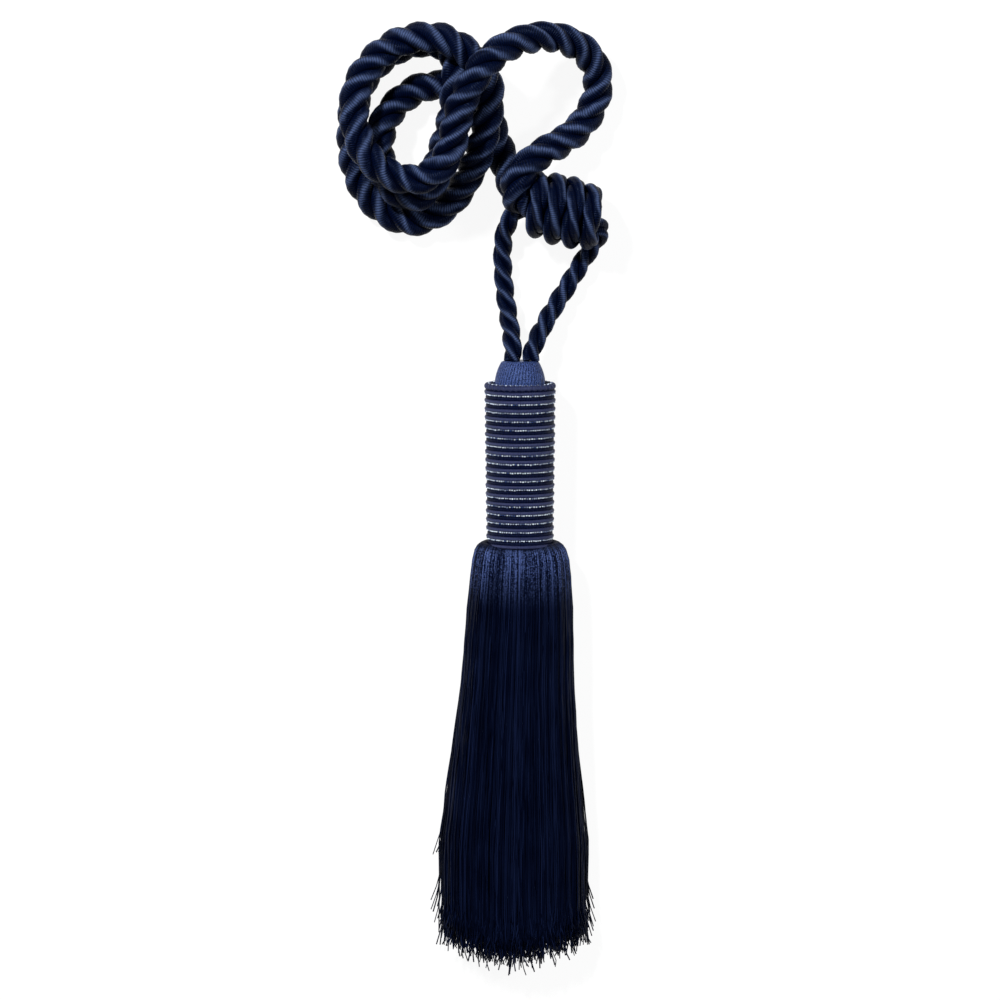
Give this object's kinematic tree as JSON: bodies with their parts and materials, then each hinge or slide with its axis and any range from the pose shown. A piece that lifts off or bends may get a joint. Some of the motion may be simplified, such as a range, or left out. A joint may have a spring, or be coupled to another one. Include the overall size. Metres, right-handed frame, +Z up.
{
  "type": "tassel tieback",
  "caption": "Tassel tieback lying flat: twisted navy cord coiled above a wrapped knot, with a ringed, beaded head and a long cut skirt.",
  "frame": {"origin": "flat spot under the middle of the tassel's head, where it rests on the surface", "axes": "+Z up from the surface, +Y along the tassel from its skirt towards the knot and the coiled cord, +X to the right in the picture"},
  "size_m": [0.1153, 0.4032, 0.0457],
  "materials": {
    "thick_cord": "silky navy yarn, laid in three plies",
    "thin_cord": "silky navy yarn, laid in three plies",
    "knot_cord": "silky navy yarn, wound in turns",
    "neck_yarn": "satin yarn laid over a former",
    "head_gimp": "silky gimp rings with rows of small glass beads",
    "skirt_yarn": "fine cut yarn, soft sheen"
  },
  "bodies": {
    "root": {"main_cord": "thick_cord", "leg_left": "thin_cord", "leg_right": "thin_cord", "knot": "knot_cord", "neck": "neck_yarn", "head": "head_gimp", "skirt": "skirt_yarn"}
  },
  "joints": []
}
